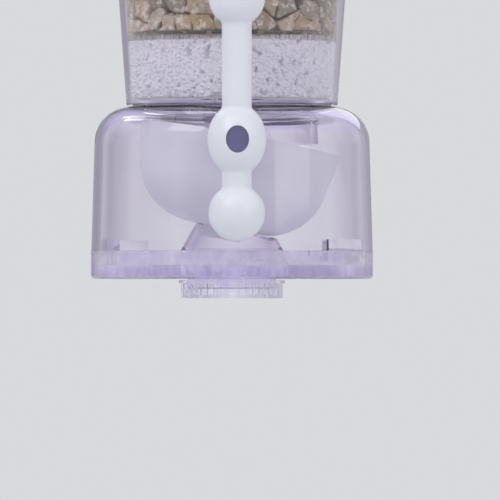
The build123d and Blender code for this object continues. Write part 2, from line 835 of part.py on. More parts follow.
with BuildPart() as valve_seal:
    with BuildSketch(Plane.XZ):
        with Locations((nipple_radius - valve_seal_section, seal_height)):
            Circle(valve_seal_section - ring_gap / 2)
    revolve(axis=Axis.Z)
valve_seal.part.label = "valve_seal"
export_step(valve_seal.part, "parts/valve_seal.step")

# Valve plug: a cylinder with a cross port and a slot that the spindle's tongue drives
plug_front = barrel_front + retainer_length + plug_end_play
plug_back = barrel_length / 2 - barrel_end - plug_end_play
with BuildPart() as valve_plug:
    with BuildSketch(Plane.XZ.offset(-plug_front)):
        with Locations((0, valve_height)):
            Circle(plug_radius)
    extrude(amount=-(plug_back - plug_front))
    with BuildSketch(Plane.XY.offset(valve_height - plug_radius)):
        Circle(port_radius)
    extrude(amount=2 * plug_radius, mode=Mode.SUBTRACT)
    with BuildSketch(Plane.XZ.offset(-plug_front)):
        with Locations((0, valve_height)):
            Rectangle(tongue_thickness + ring_gap, tongue_height + 2 * ring_gap)
    extrude(amount=-(tongue_length + ring_gap), mode=Mode.SUBTRACT)
valve_plug.part.label = "valve_plug"
export_step(valve_plug.part, "parts/valve_plug.step")

with BuildPart() as plug_retainer:
    with BuildSketch(Plane.XZ.offset(-barrel_front)):
        with Locations((0, valve_height)):
            Circle(barrel_bore - ring_gap)
            Circle(spindle_radius + running_gap, mode=Mode.SUBTRACT)
    extrude(amount=-retainer_length)
plug_retainer.part.label = "plug_retainer"
export_step(plug_retainer.part, "parts/plug_retainer.step")

# Spindle: keyed front end in the lever, sealed journal in the boss, shaft and tongue to the plug
spindle_front = -(lever_reach + lever_hub_radius - spindle_recess)
journal_front = -boss_face
flange_front = -(boss_face - boss_length) + push_gap
flange_back = flange_front + spindle_flange_length
seal_middle = journal_front + boss_length / 2
spindle_groove = journal_radius - 2 * spindle_seal_section - ring_gap
seal_half = spindle_seal_section + ring_gap
with BuildPart() as valve_spindle:
    with BuildSketch(Plane.YZ):
        with BuildLine():
            Polyline(
                (journal_front, valve_height),
                (journal_front, valve_height + journal_radius),
                (seal_middle - seal_half, valve_height + journal_radius),
                (seal_middle - seal_half, valve_height + spindle_groove),
                (seal_middle + seal_half, valve_height + spindle_groove),
                (seal_middle + seal_half, valve_height + journal_radius),
                (flange_front, valve_height + journal_radius),
                (flange_front, valve_height + spindle_flange_radius),
                (flange_back, valve_height + spindle_flange_radius),
                (flange_back, valve_height + spindle_radius),
                (plug_front, valve_height + spindle_radius),
                (plug_front, valve_height),
                close=True,
            )
        make_face()
    revolve(axis=valve_axis)
    with BuildSketch(Plane.XZ.offset(-spindle_front)):
        with Locations((0, valve_height)):
            Ellipse(spindle_key_width / 2, spindle_key_height / 2)
    extrude(amount=-(journal_front - spindle_front))
    with BuildSketch(Plane.XZ.offset(-plug_front)):
        with Locations((0, valve_height)):
            Rectangle(tongue_thickness, tongue_height)
    extrude(amount=-tongue_length)
valve_spindle.part.label = "valve_spindle"
export_step(valve_spindle.part, "parts/valve_spindle.step")

with BuildPart() as spindle_seal:
    with BuildSketch(Plane.YZ):
        with Locations((seal_middle, valve_height + journal_radius - spindle_seal_section)):
            Circle(spindle_seal_section - ring_gap / 2)
    revolve(axis=valve_axis)
spindle_seal.part.label = "spindle_seal"
export_step(spindle_seal.part, "parts/spindle_seal.step")

# Lever: one turned piece of two balls, a hub and a stem, bored for the spindle's keyed end
lever_plane = Plane.XZ.offset(lever_reach)
with BuildPart() as lever:
    with BuildSketch(lever_plane) as lever_section:
        with Locations((0, valve_height + lever_up), (0, valve_height - lever_down)):
            Circle(lever_ball_radius)
        with Locations((0, valve_height)):
            Ellipse(lever_hub_radius, lever_hub_half_height)
        with Locations((0, valve_height - lever_down)):
            stem_length = lever_up + lever_down
            Rectangle(2 * lever_stem_radius, stem_length, align=(Align.CENTER, Align.MIN))
        split(bisect_by=Plane.YZ, keep=Keep.TOP)
        stem_corners = lever_section.vertices().filter_by_position(
            Axis.X, lever_stem_radius - 0.01, lever_stem_radius + 0.01
        )
        fillet(stem_corners, lever_blend_radius)
    revolve(axis=Axis((0, -lever_reach, valve_height), (0, 0, 1)))
    with BuildSketch(lever_plane.offset(lever_hub_radius)):
        with Locations((0, valve_height)):
            Ellipse(spindle_key_width / 2 + ring_gap, spindle_key_height / 2 + ring_gap)
    extrude(amount=-2 * lever_hub_radius, mode=Mode.SUBTRACT)
lever.part.label = "lever"
export_step(lever.part, "parts/lever.step")

# Outlet collar: ribbed ring that snaps over the spigot's bead and turns on it
collar_bore = spigot_radius + push_gap
with BuildPart() as outlet_collar:
    with BuildSketch(Plane.XZ):
        with BuildLine():
            Polyline(
                (outlet_radius, collar_bottom),
                (collar_radius - collar_rib_depth, collar_bottom),
                (collar_radius - collar_rib_depth, collar_top - collar_flange_height),
                (collar_flange_radius, collar_top - collar_flange_height),
                (collar_flange_radius, collar_top),
                (collar_bore, collar_top),
                (collar_bore, collar_lip_top),
                (outlet_radius, collar_lip_top),
                close=True,
            )
        make_face()
        with Locations((collar_bore, bead_middle)):
            Rectangle(2 * spigot_bead, 2 * spigot_bead + 2 * push_gap, mode=Mode.SUBTRACT)
    revolve(axis=Axis.Z)
    with BuildSketch(Plane.XY.offset(collar_bottom)):
        with PolarLocations(collar_radius - collar_rib_depth, collar_rib_count):
            Rectangle(2 * collar_rib_depth, collar_rib_width)
    extrude(amount=collar_height - collar_flange_height)
outlet_collar.part.label = "outlet_collar"
export_step(outlet_collar.part, "parts/outlet_collar.step")

# Flow straightener: a grid of square channels held on the collar's lip
straightener_radius = collar_bore - push_gap
with BuildPart() as flow_straightener:
    with BuildSketch(Plane.XY.offset(collar_lip_top)):
        Circle(straightener_radius)
        grid_row = floor(outlet_radius / straightener_pitch)
        half_diagonal = straightener_hole / sqrt(2)
        for column in range(-grid_row, grid_row + 1):
            for row in range(-grid_row, grid_row + 1):
                reach = sqrt(column**2 + row**2) * straightener_pitch
                if reach + half_diagonal < outlet_radius:
                    with Locations((column * straightener_pitch, row * straightener_pitch)):
                        Rectangle(straightener_hole, straightener_hole, mode=Mode.SUBTRACT)
    extrude(amount=straightener_height)
flow_straightener.part.label = "flow_straightener"
export_step(flow_straightener.part, "parts/flow_straightener.step")

outlet_washer = ring(spigot_bore_radius, straightener_radius, straightener_top, outlet_washer_top)
outlet_washer.part.label = "outlet_washer"
export_step(outlet_washer.part, "parts/outlet_washer.step")
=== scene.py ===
import json
import math
import random

import bmesh
import bpy
import numpy as np
from mathutils import Matrix, Vector, noise


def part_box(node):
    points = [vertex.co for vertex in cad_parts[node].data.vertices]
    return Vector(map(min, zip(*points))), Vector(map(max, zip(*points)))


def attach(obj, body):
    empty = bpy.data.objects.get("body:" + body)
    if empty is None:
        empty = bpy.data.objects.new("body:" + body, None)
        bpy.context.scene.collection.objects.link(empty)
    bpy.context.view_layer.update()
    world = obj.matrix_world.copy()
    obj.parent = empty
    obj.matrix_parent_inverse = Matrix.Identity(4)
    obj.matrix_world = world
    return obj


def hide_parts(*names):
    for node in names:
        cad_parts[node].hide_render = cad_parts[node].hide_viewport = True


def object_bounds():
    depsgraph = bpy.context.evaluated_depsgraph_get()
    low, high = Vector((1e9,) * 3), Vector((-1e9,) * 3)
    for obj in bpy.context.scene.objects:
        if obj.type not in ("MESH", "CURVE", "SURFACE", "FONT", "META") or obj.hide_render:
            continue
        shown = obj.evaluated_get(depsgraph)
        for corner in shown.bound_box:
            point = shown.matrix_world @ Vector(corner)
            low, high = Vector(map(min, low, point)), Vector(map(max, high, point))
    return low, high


# Looks of the water filter: the finishes of its clear, milky, white and metal pieces, and the
# stones, beads and carbon that its jar holds. Metres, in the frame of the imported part.

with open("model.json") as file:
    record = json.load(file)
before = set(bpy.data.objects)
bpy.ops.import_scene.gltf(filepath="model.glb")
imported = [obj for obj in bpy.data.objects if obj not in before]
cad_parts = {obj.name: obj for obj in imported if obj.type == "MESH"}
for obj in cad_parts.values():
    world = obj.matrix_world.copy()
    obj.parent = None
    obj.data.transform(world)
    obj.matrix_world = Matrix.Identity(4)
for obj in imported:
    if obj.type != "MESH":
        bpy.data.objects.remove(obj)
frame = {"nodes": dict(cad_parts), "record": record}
cad_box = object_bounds()
MM = 0.001
FULL_TURN = 2 * math.pi
QUARTER_TURN = math.pi / 2
TINY = 1e-9

# The photograph's frame: the body's axis and the base cap's underside in pixels, and the scale.
# The underside lies BASE_DEPTH below the base seal's top.
PHOTO_SIDE = 500
AXIS_PIXEL = 232
BASE_PIXEL = 279
METRES_PER_PIXEL = 0.25 * MM
BASE_DEPTH = 7.0 * MM

# Camera, level with the base cap's underside and a little to the left of the lever
CAMERA_DISTANCE = 1.7
CAMERA_AZIMUTH = math.radians(-1.7)
SENSOR_WIDTH = 36.0
NEAR_CLIP = 0.05

# Backdrop, as it looks in the photograph, and the floor that fades into it between two radii
BACKDROP = (0.690, 0.697, 0.726)
FLOOR_PAINT = ((0.745, 0.75, 0.78), (0.765, 0.77, 0.80))
FLOOR_DROP = 0.085
SHADOW_RADIUS = 0.25
FADE_RADIUS = 0.90
FLOOR_RINGS = (SHADOW_RADIUS, FADE_RADIUS, 2.5, 8.0)
FLOOR_STEPS = 96

# Ring of soft panels that clear pieces refract, with darker gaps between them. PANEL_TURN turns
# the ring, and PANEL_EDGE narrows its panels. The gaps go from the left's colour to the right's
# over GAP_SPREAD on each side of the middle. Between the two heights of RING_FADE the ring turns
# into the ceiling's colour, above and below it. AMBIENT lights matt faces.
PANEL_COUNT = 8
PANEL_TURN = math.radians(2.0)
PANEL_EDGE = 3.5
LEFT_GAP = (0.33, 0.31, 0.38)
RIGHT_GAP = (0.47, 0.45, 0.52)
GAP_SPREAD = 0.6
CEILING = (0.57, 0.54, 0.72)
RING_FADE = (0.12, 0.45)
AMBIENT = (0.57, 0.57, 0.60)

# Lamps: name, place, side, watts
LAMPS = (
    ("key_lamp", (-0.60, -0.60, 0.70), 0.60, 3.4),
    ("fill_lamp", (0.75, -0.65, 0.25), 0.60, 1.6),
    ("top_lamp", (0.05, -0.45, 0.85), 0.60, 1.1),
    ("back_lamp", (0.35, 0.85, 0.45), 0.60, 1.4),
)

# Strip lamps whose reflections are the bright arcs on the housing's shoulder: name, ends, watts
STRIP_WIDTH = 0.07
STRIPS = (
    ("left_strip", (-0.46, 0.62, 0.46), (-0.50, 0.18, 0.74), 0.42),
    ("right_strip", (0.50, 0.36, 0.62), (0.50, 0.14, 0.76), 0.11),
)

# How often light may bounce, for the many clear walls behind each other
MOST_BOUNCES = 32
CLEAR_BOUNCES = 28

# Light that each clear plastic takes from red, green and blue along one metre
VIOLET_LOSS = (10.5, 13.6, 2.0)
BASE_LOSS = (3.1, 4.2, 0.2)
PALE_LOSS = (5.0, 6.2, 1.6)
GRATE_LOSS = (5.0, 6.0, 7.0)
COLLAR_LOSS = (1.2, 1.5, 0.5)
GEL_LOSS = (4.0, 5.0, 2.0)

# Tints of the clear plastics' faces, and of lamplight that passes through them; milky plastics
# pass MILKY_LAMPS of their own colour
VIOLET_TINT = (0.985, 0.972, 1.0)
JAR_TINT = (0.975, 0.958, 0.982)
GRATE_TINT = (0.95, 0.93, 0.90)
COLLAR_TINT = (0.995, 0.993, 1.0)
GEL_TINT = (0.98, 0.97, 1.0)
LAMP_TINT = (0.97, 0.965, 0.985)
MILKY_LAMPS = 0.78

# The base cap's mottling: deep and pale tints of its rim and wall, where the streaks' noise turns
# from one to the other, and where the rim turns into the wall, as shares of the cap's height
RIM_TINTS = ((0.77, 0.71, 0.91), (0.955, 0.945, 0.985))
WALL_TINTS = ((0.85, 0.83, 0.915), (0.975, 0.965, 0.985))
STREAK_RANGE = (0.42, 0.57)
RIM_SHARE = (0.42, 0.55)

# Colours of the other finishes, deep and pale where there are two
BOWL_WHITE = (0.98, 0.99, 0.985)
VALVE_WHITE = (0.80, 0.79, 0.90)
LEVER_WHITE = (0.80, 0.815, 0.87)
CAP_WHITE = (0.80, 0.81, 0.83)
SPINDLE_VIOLET = (0.135, 0.13, 0.26)
SILICONE = (0.80, 0.78, 0.86)
RUBBER_BLACK = (0.022, 0.022, 0.024)
STEEL_GREY = (0.52, 0.52, 0.53)
PLATING = ((0.62, 0.62, 0.65), (0.74, 0.74, 0.76))
FELT_WHITES = ((0.66, 0.65, 0.66), (0.86, 0.85, 0.87))
BEAD_WHITES = ((0.80, 0.795, 0.85), (0.93, 0.93, 0.96))
CARBON_BLACKS = ((0.012, 0.012, 0.013), (0.045, 0.045, 0.048))
STONE_SPOTS = (0.17, 0.11, 0.05)
STONE_VEINS = (0.86, 0.79, 0.70)

# Share of the colour in a finish's deeper patches, and how much rougher its rough patches are
MILKY_DEEPER = 0.965
WHITE_DEEPER = 0.985
RUBBER_DEEPER = 0.8
MILKY_SPREAD = 0.12
WHITE_SPREAD = 0.08

# Indices of refraction
PLASTIC_IOR = 1.49
OPAQUE_IOR = 1.5
RUBBER_IOR = 1.43
MINERAL_IOR = 1.45

# Air between a piece made here and the walls or grates that it rests on
FACE_GAP = 0.03 * MM

# Stones. Their middles stand in rows of rings. The first ring is STONE_SETBACK of the pitch from
# the wall. They stray by STONE_TURN of a step round the ring, STONE_REACH of the pitch and
# STONE_RISE of a row's height. Each stone fills the cell round its middle. Neighbours within
# STONE_NEAR pitches cut it, at STONE_LEAST of the way to them or further, and STONE_WEIGHT moves
# that cut. STONE_MOST of the pitch is as far as a stone reaches. STONE_FACE makes its faces
# uneven, STONE_EDGE sets how sharp its edges are, and STONE_JOINT how well it fills its cell.
STONE_SEED = 11
STONE_PITCH = 4.7 * MM
STONE_ROWS = 2
STONE_SETBACK = 0.48
STONE_TURN = (-0.36, 0.36)
STONE_REACH = (-0.14, 0.12)
STONE_RISE = (-0.38, 0.38)
STONE_WEIGHT = (-0.28, 0.28)
STONE_NEAR = 2.6
STONE_LEAST = 0.2
STONE_MOST = 0.85
STONE_FACE = (0.93, 1.0)
STONE_JOINT = (0.91, 1.03)
STONE_EDGE = (10.0, 34.0)
STONE_WALL_GAP = 0.02 * MM

# Noise on the stones: its size, its depth and its seed's step from stone to stone. Then the
# levels of the icospheres that they are made from, at the wall and further in.
STONE_NOISE = ((2.4 * MM, 0.95 * MM, 3.7), (0.9 * MM, 0.32 * MM, 5.1))
STONE_LEVELS = (4, 3)

# Tones of the stones, their brightness, and a painted shade that darkens them towards the top of the
# bed
STONE_TONES = (
    (0.63, 0.46, 0.27),
    (0.56, 0.38, 0.22),
    (0.68, 0.54, 0.36),
    (0.60, 0.43, 0.31),
    (0.48, 0.36, 0.24),
    (0.74, 0.62, 0.46),
    (0.52, 0.39, 0.16),
    (0.42, 0.36, 0.27),
)
STONE_SHADES = (0.80, 1.12)
# Painted shade: its dark tone, and the range of its random share at the top of the bed
TOP_SHADE_TONE = (0.27, 0.27, 0.19)
TOP_SHADE_SHARES = (0.0, 0.9)

# Loose granules: the part of the pitch's square that one takes, how far it strays as a part of
# the pitch, how deep its middle lies in sizes, and the noise of its dents: how fine and how deep
# it is, and its step from granule to granule
GOLDEN_ANGLE = math.pi * (3 - math.sqrt(5))
GRANULE_LEVEL = 2
GRANULE_CELL = 0.86
GRANULE_STRAY = (-0.5, 0.5)
GRANULE_SINK = (0.98, 1.15)
GRANULE_DENTS = 1.2
GRANULE_DENT_DEPTH = 0.5
GRANULE_SHIFT = 1.3

# Pits between the granules: where noise of PIT_SIZE rises over a bed's own level, and PIT_SLOPE
# above that level a pit has its full depth. Granules deeper in a pit than PIT_MISSING are left out.
PIT_SIZE = 1.5 * MM
PIT_DEPTH = 1.3 * MM
PIT_SLOPE = 0.15
PIT_MISSING = 0.3
BEAD_PITS = 0.36
CARBON_PITS = 0.55
NO_PITS = 1.0

# Packed cores behind the granules: face size, and size of their ripples
CORE_STEP = 0.4 * MM
CORE_GRAIN = 1.1 * MM

# Felt pads and seal rings
ROUND_STEPS = 180
PAD_GAP = 0.1 * MM
PAD_RIM = 1.2 * MM
PAD_RIM_SHARE = 0.45
PAD_RIM_STEPS = 6
PAD_RIPPLE = 0.08 * MM
PAD_GRAIN = 2 * MM
SEAL_EDGE_SHARE = 0.1
SEAL_EDGE_STEPS = 3

# Spout thread in the swivel nut. Its section is (outwards, up) from the bore, and it fades over
# THREAD_FADE of a turn at each end.
THREAD_PITCH = 1.0 * MM
THREAD_DEPTH = 0.55 * MM
THREAD_ROOT = 0.05 * MM
THREAD_FOOT = 0.45 * THREAD_PITCH
THREAD_CREST = 0.06 * THREAD_PITCH
THREAD_MARGIN = 0.6 * THREAD_PITCH
THREAD_STEPS = 64
THREAD_FADE = 0.25
THREAD_SECTION = (
    (THREAD_ROOT, -THREAD_FOOT),
    (-THREAD_DEPTH, -THREAD_CREST),
    (-THREAD_DEPTH, THREAD_CREST),
    (THREAD_ROOT, THREAD_FOOT),
)


def around(radius, angle, height):
    """The point at a radius and an angle about Z."""
    return radius * math.cos(angle), radius * math.sin(angle), height


def dimmed(colour, share):
    """A colour with a share of its light."""
    return tuple(share * part for part in colour)


def new_mesh(name, points, faces, smooth=True):
    """A mesh object of the given points and faces."""
    mesh = bpy.data.meshes.new(name)
    mesh.from_pydata([tuple(point) for point in points], [], [tuple(face) for face in faces])
    mesh.validate()
    if smooth:
        mesh.shade_smooth()
    else:
        mesh.shade_flat()
    piece = bpy.data.objects.new(name, mesh)
    bpy.context.scene.collection.objects.link(piece)
    return piece


def unit_sphere(subdivisions):
    """Points and triangles of a unit icosphere, as arrays."""
    ball = bmesh.new()
    bmesh.ops.create_icosphere(ball, subdivisions=subdivisions, radius=1.0)
    ball.verts.ensure_lookup_table()
    points = np.array([vert.co[:] for vert in ball.verts])
    faces = np.array([[vert.index for vert in face.verts] for face in ball.faces])
    ball.free()
    return points, faces


def joined(name, parts):
    """One mesh object made of many (points, faces) pairs."""
    points, faces, start = [], [], 0
    for part_points, part_faces in parts:
        points.append(part_points)
        faces.append(part_faces + start)
        start += len(part_points)
    return new_mesh(name, np.concatenate(points), np.concatenate(faces))


class Nodes:
    """A shader tree, emptied, with short ways to add nodes to it."""

    def __init__(self, tree):
        self.tree = tree
        tree.nodes.clear()

    def new(self, kind):
        """A new node, named without its ShaderNode."""
        return self.tree.nodes.new("ShaderNode" + kind)

    def link(self, source, target):
        self.tree.links.new(source, target)

    def feed(self, target, value):
        """Gives a socket a value, which is a number, a tuple or another node's output."""
        if isinstance(value, bpy.types.NodeSocket):
            self.link(value, target)
        else:
            target.default_value = (*value, 1.0) if target.type == "RGBA" else value

    def maths(self, operation, *values):
        """Result of a Math node."""
        node = self.new("Math")
        node.operation = operation
        for socket, value in zip(node.inputs, values):
            self.feed(socket, value)
        return node.outputs[0]

    def between(self, value, low, high, start=0.3, end=0.7, smooth=False):
        """Maps a value from start to end on to low to high."""
        ranged = self.new("MapRange")
        if smooth:
            ranged.interpolation_type = "SMOOTHSTEP"
        ends = {"From Min": start, "From Max": end, "To Min": low, "To Max": high}
        for name, number in ends.items():
            ranged.inputs[name].default_value = number
        self.link(value, ranged.inputs["Value"])
        return ranged.outputs["Result"]

    def ramp(self, value, deep, pale, start=0.35, end=0.65):
        """Colours from deep to pale, as a value goes from start to end."""
        ramp = self.new("ValToRGB")
        for element, place, colour in zip(ramp.color_ramp.elements, (start, end), (deep, pale)):
            element.position = place
            element.color = (*colour, 1.0)
        self.link(value, ramp.inputs["Fac"])
        return ramp.outputs["Color"]

    def mixed(self, share, first, second):
        """Mix of two colours by a share from a socket."""
        mix = self.new("Mix")
        mix.data_type = "RGBA"
        for index, value in ((0, share), (6, first), (7, second)):
            self.feed(mix.inputs[index], value)
        return mix.outputs[2]

    def mixed_shader(self, share, first, second):
        """Mix of two shaders by a share from a socket."""
        mix = self.new("MixShader")
        for socket, source in zip(mix.inputs, (share, first, second)):
            self.link(source, socket)
        return mix.outputs[0]


class Finish(Nodes):
    """A material with one Principled shader."""

    def __init__(self, name):
        self.material = bpy.data.materials.new(name)
        self.material.use_nodes = True
        super().__init__(self.material.node_tree)
        self.out = self.new("OutputMaterial")
        self.shader = self.new("BsdfPrincipled")
        self.link(self.shader.outputs["BSDF"], self.out.inputs["Surface"])
        self.place = self.new("TexCoord").outputs["Object"]

    def set(self, **values):
        """Feeds sockets of the Principled shader, written with _ for a space."""
        for name, value in values.items():
            self.feed(self.shader.inputs[name.replace("_", " ")], value)

    def noise(self, size, detail=3.0, roughness=0.55, stretch=(1, 1, 1)):
        """Noise with features of about the given size in metres, from 0 to 1."""
        scaled = self.new("Mapping")
        scaled.inputs["Scale"].default_value = [side / size for side in stretch]
        self.link(self.place, scaled.inputs["Vector"])
        grain = self.new("TexNoise")
        for name, number in {"Scale": 1.0, "Detail": detail, "Roughness": roughness}.items():
            grain.inputs[name].default_value = number
        self.link(scaled.outputs["Vector"], grain.inputs["Vector"])
        return grain.outputs["Fac"]

    def bump(self, height, depth):
        """Adds a bump of the given depth in metres to what is there."""
        node = self.new("Bump")
        node.inputs["Distance"].default_value = depth
        self.link(height, node.inputs["Height"])
        normal = self.shader.inputs["Normal"]
        if normal.is_linked:
            self.link(normal.links[0].from_socket, node.inputs["Normal"])
        self.link(node.outputs["Normal"], normal)

    def absorb(self, loss):
        """Fills the piece with a tint that takes the given light along each metre."""
        density = max(loss)
        volume = self.new("VolumeAbsorption")
        self.feed(volume.inputs["Density"], density)
        self.feed(volume.inputs["Color"], tuple(1 - share / density for share in loss))
        self.link(volume.outputs["Volume"], self.out.inputs["Volume"])

    def blend_over(self, share, shader):
        """Puts another shader over the Principled one, by a share from a socket."""
        mix = self.mixed_shader(share, self.shader.outputs["BSDF"], shader)
        self.link(mix, self.out.inputs["Surface"])

    def pass_lamps(self, tint):
        """Lets lamps shine through, as thin clear walls do."""
        open_way = self.new("BsdfTransparent")
        self.feed(open_way.inputs["Color"], tint)
        self.blend_over(self.new("LightPath").outputs["Is Shadow Ray"], open_way.outputs["BSDF"])


def clear_plastic(
    name, loss, waviness, tint=VIOLET_TINT, clear=1.0, smooth=0.012, smudge=0.05, ripple=0.0
):
    """Moulded clear plastic with faint flow waves, finger smudges and perhaps a fine ripple.

    smooth and smudge are the roughness of its clean and of its smudged patches, and waviness and
    ripple are depths.
    """
    finish = Finish(name)
    smears = finish.noise(9 * MM, detail=5.0)
    finish.set(Base_Color=tint, IOR=PLASTIC_IOR, Transmission_Weight=clear)
    finish.set(Roughness=finish.between(smears, smooth, smudge, start=0.45, end=0.75))
    finish.bump(finish.noise(7 * MM, detail=1.0, stretch=(1, 1, 0.4)), waviness)
    if ripple:
        finish.bump(finish.noise(2.2 * MM), ripple)
    finish.absorb(loss)
    finish.pass_lamps(LAMP_TINT)
    return finish


def mottle_base(finish):
    """Tints the base cap unevenly, and deeper along its lower rim."""
    streaks = finish.noise(1.6 * MM, detail=4.0, roughness=0.7, stretch=(1, 1, 0.35))
    rim = finish.ramp(streaks, *RIM_TINTS, *STREAK_RANGE)
    wall = finish.ramp(streaks, *WALL_TINTS, *STREAK_RANGE)
    split = finish.new("SeparateXYZ")
    finish.link(finish.place, split.inputs[0])
    low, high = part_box("base_cap")
    ends = [low.z + share * (high.z - low.z) for share in RIM_SHARE]
    height = finish.between(split.outputs["Z"], 0.0, 1.0, *ends)
    finish.set(Base_Color=finish.mixed(height, rim, wall))


def milky_plastic(name, colour, passes, roughness):
    """Translucent natural plastic with a soft, slightly grainy face; passes is its clear share."""
    finish = Finish(name)
    cloud = finish.noise(5 * MM, detail=4.0)
    finish.set(IOR=OPAQUE_IOR, Transmission_Weight=passes)
    finish.set(Base_Color=finish.ramp(cloud, dimmed(colour, MILKY_DEEPER), colour))
    finish.set(Roughness=finish.between(cloud, roughness, roughness + MILKY_SPREAD))
    finish.bump(finish.noise(0.5 * MM, detail=2.0), 0.012 * MM)
    finish.pass_lamps(dimmed(colour, MILKY_LAMPS))
    return finish


def white_plastic(name, colour, roughness):
    """Glossy opaque moulding with faint orange peel and a trace of sink."""
    finish = Finish(name)
    cloud = finish.noise(9 * MM, detail=2.0)
    smears = finish.noise(6 * MM)
    finish.set(IOR=OPAQUE_IOR, Coat_Weight=0.12, Coat_Roughness=0.22)
    finish.set(Subsurface_Weight=0.12, Subsurface_Radius=(0.8, 0.8, 0.9), Subsurface_Scale=0.6 * MM)
    finish.set(Base_Color=finish.ramp(cloud, dimmed(colour, WHITE_DEEPER), colour))
    finish.set(Roughness=finish.between(smears, roughness, roughness + WHITE_SPREAD))
    finish.bump(finish.noise(0.9 * MM, detail=1.0), 0.003 * MM)
    finish.bump(finish.noise(11 * MM, detail=0.0), 0.012 * MM)
    return finish


def plated_metal(name):
    """Polished plating over brass, with fine hairlines."""
    finish = Finish(name)
    cloud = finish.noise(4 * MM, detail=4.0)
    hairs = finish.noise(0.35 * MM, stretch=(1, 1, 9))
    finish.set(Metallic=1.0, Base_Color=finish.ramp(cloud, *PLATING))
    finish.set(Roughness=finish.between(hairs, low=0.07, high=0.17))
    finish.bump(hairs, 0.002 * MM)
    return finish


def steel_mesh(name):
    """Rolled stainless sheet."""
    finish = Finish(name)
    hairs = finish.noise(0.2 * MM, stretch=(12, 1, 1))
    finish.set(Metallic=1.0, Base_Color=STEEL_GREY)
    finish.set(Roughness=finish.between(hairs, low=0.25, high=0.42))
    finish.bump(hairs, 0.004 * MM)
    return finish


def rubber(name, colour, passes=0.0):
    """Moulded rubber with a soft grain."""
    finish = Finish(name)
    grain = finish.noise(0.4 * MM, detail=4.0)
    finish.set(IOR=RUBBER_IOR, Transmission_Weight=passes)
    deeper = dimmed(colour, RUBBER_DEEPER)
    finish.set(Base_Color=finish.ramp(grain, deeper, colour, start=0.3, end=0.7))
    finish.set(Roughness=finish.between(grain, low=0.42, high=0.6))
    finish.bump(grain, 0.015 * MM)
    return finish


def felt(name):
    """Pressed white fibres."""
    finish = Finish(name)
    fibres = finish.noise(0.35 * MM, detail=6.0, roughness=0.7, stretch=(1, 1, 4))
    finish.set(Roughness=0.95, Sheen_Weight=0.3, Sheen_Roughness=0.5)
    finish.set(Base_Color=finish.ramp(fibres, *FELT_WHITES, start=0.3, end=0.6))
    finish.bump(fibres, 0.12 * MM)
    return finish


def stone_finish(name):
    """Crushed pebbles with dark spots and pale veins; attribute tone gives each its colour and
    painted shade.
    """
    finish = Finish(name)
    tone = finish.new("Attribute")
    tone.attribute_name = "tone"
    grain = finish.noise(1.1 * MM, detail=8.0, roughness=0.75)
    veins = finish.noise(2.0 * MM, detail=7.0, roughness=0.65)
    spots = finish.between(grain, low=0.0, high=0.7, start=0.5, end=0.68)
    spotted = finish.mixed(spots, tone.outputs["Color"], STONE_SPOTS)
    streaks = finish.between(veins, low=0.0, high=0.85, start=0.5, end=0.62)
    finish.set(IOR=MINERAL_IOR, Base_Color=finish.mixed(streaks, spotted, STONE_VEINS))
    finish.set(Roughness=finish.between(grain, low=0.55, high=0.9))
    finish.bump(grain, 0.16 * MM)
    finish.bump(veins, 0.25 * MM)
    return finish


def granule_finish(name, deep, pale, depth):
    """Matt granules with pitted faces."""
    finish = Finish(name)
    grain = finish.noise(0.45 * MM, detail=5.0, roughness=0.65)
    finish.set(IOR=MINERAL_IOR, Base_Color=finish.ramp(grain, deep, pale, start=0.32, end=0.6))
    finish.set(Roughness=finish.between(grain, low=0.6, high=0.9))
    finish.bump(grain, depth)
    return finish


def paint(finish, *nodes):
    """Gives CAD nodes a finish."""
    for name in nodes:
        node = frame["nodes"][name]
        if not node.material_slots:
            node.data.materials.append(finish.material)
        for slot in node.material_slots:
            slot.material = finish.material


def node_points(node):
    """Points of a CAD node's mesh, and their radii about Z."""
    points = np.array([vert.co[:] for vert in frame["nodes"][node].data.vertices])
    return points, np.hypot(points[:, 0], points[:, 1])


def jar_wall(node):
    """Height and outer radius of a filling node at its underside, and the same at its top."""
    low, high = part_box(node)
    points, radii = node_points(node)
    middle = (low.z + high.z) / 2
    return low.z, radii[points[:, 2] < middle].max(), high.z, radii[points[:, 2] > middle].max()


def wall_radius(limits, height):
    """Radius of the jar's inner wall at a height, between a filling's two ends."""
    low, low_radius, high, high_radius = limits
    return low_radius + (high_radius - low_radius) * (height - low) / (high - low)


def roughened(points, size, depth, seed):
    """Points pushed along their direction from the origin by noise."""
    offset = Vector((seed, seed, seed))
    shifts = np.array([noise.noise(Vector(point * (1 / size)) + offset) for point in points])
    lengths = np.linalg.norm(points, axis=1, keepdims=True)
    return points * (1 + depth * shifts[:, None] / np.maximum(lengths, TINY))


def stone_places(limits, dice):
    """Middles of the stones: rows of uneven rings, closest to the wall first."""
    low, _, high, _ = limits
    row_height = (high - low) / STONE_ROWS
    places = []
    for row in range(STONE_ROWS):
        height = low + (row + 0.5) * row_height
        radius = wall_radius(limits, height) - STONE_SETBACK * STONE_PITCH
        while radius > 0:
            count = max(1, round(FULL_TURN * radius / STONE_PITCH))
            turn = dice.uniform(0, FULL_TURN)
            for index in range(count):
                angle = turn + (index + dice.uniform(*STONE_TURN)) * FULL_TURN / count
                reach = radius + dice.uniform(*STONE_REACH) * STONE_PITCH
                level = height + dice.uniform(*STONE_RISE) * row_height
                places.append(around(reach, angle, level))
            radius -= STONE_PITCH
    return np.array(places)


def stone_faces(places, weights, index, dice):
    """Directions and distances of the flat faces between a stone and its neighbours."""
    away = places - places[index]
    distance = np.linalg.norm(away, axis=1)
    near = (distance > 0) & (distance < STONE_NEAR * STONE_PITCH)
    away, distance = away[near], distance[near]
    reaches = distance / 2 + (weights[index] - weights[near]) / (2 * distance)
    reaches = np.maximum(reaches, STONE_LEAST * distance)
    reaches *= np.array([dice.uniform(*STONE_FACE) for _ in reaches])
    return away / distance[:, None], reaches


